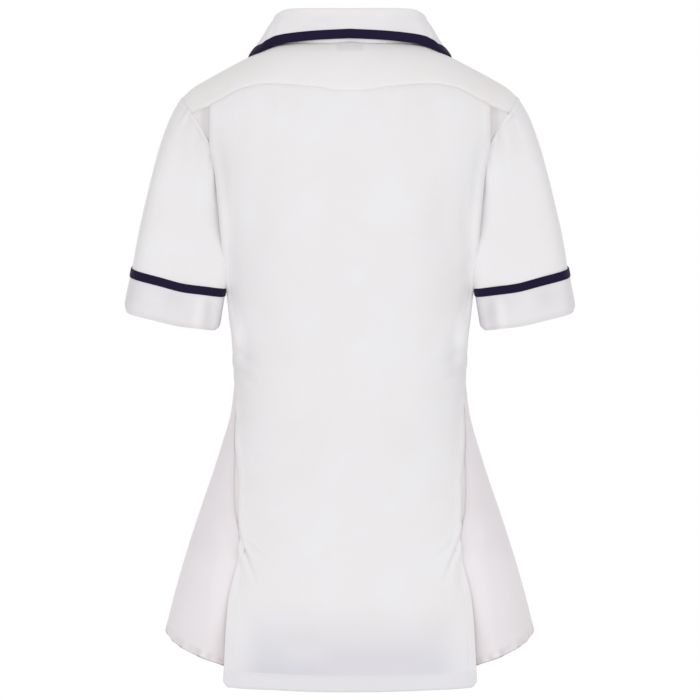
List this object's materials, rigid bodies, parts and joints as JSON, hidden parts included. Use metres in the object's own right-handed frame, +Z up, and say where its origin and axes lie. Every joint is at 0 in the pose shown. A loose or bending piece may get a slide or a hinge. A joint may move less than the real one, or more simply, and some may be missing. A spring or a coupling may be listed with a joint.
{
  "type": "medical tunic",
  "caption": "Short-sleeved white medical tunic, filled out as worn and empty: yoke, pleated back with side vents, revere collar and turned cuffs, both edged with navy braid.",
  "frame": {"origin": "between the wearer's shoulders, on the middle plane, level with the seam at the nape, where the wearer's neck and shoulders hold the garment", "axes": "+Z up along the wearer's spine, +Y to the wearer's back, +X to the wearer's left; the wearer faces -Y"},
  "size_m": [0.5182, 0.2432, 0.7625],
  "materials": {
    "white_cloth": "bright white polyester-cotton twill, matt with a soft sheen",
    "yoke_cloth": "the same white twill, lying double, a shade warmer",
    "navy_braid": "dark navy twill binding, matt",
    "label_tape": "plain white woven tape, bare"
  },
  "bodies": {
    "root": {"back_panel": "white_cloth", "collar_fall": "white_cloth", "collar_stand": "white_cloth", "collar_trim": "navy_braid", "cuff_left": "white_cloth", "cuff_right": "white_cloth", "cuff_trim_left": "navy_braid", "cuff_trim_right": "navy_braid", "front_band": "white_cloth", "front_left": "white_cloth", "front_right": "white_cloth", "front_skirt_left": "white_cloth", "front_skirt_right": "white_cloth", "lapel_left": "white_cloth", "lapel_right": "white_cloth", "neck_label": "label_tape", "pleat_underlay_left": "white_cloth", "pleat_underlay_right": "white_cloth", "sleeve_left": "white_cloth", "sleeve_right": "white_cloth", "yoke": "yoke_cloth"}
  },
  "joints": []
}
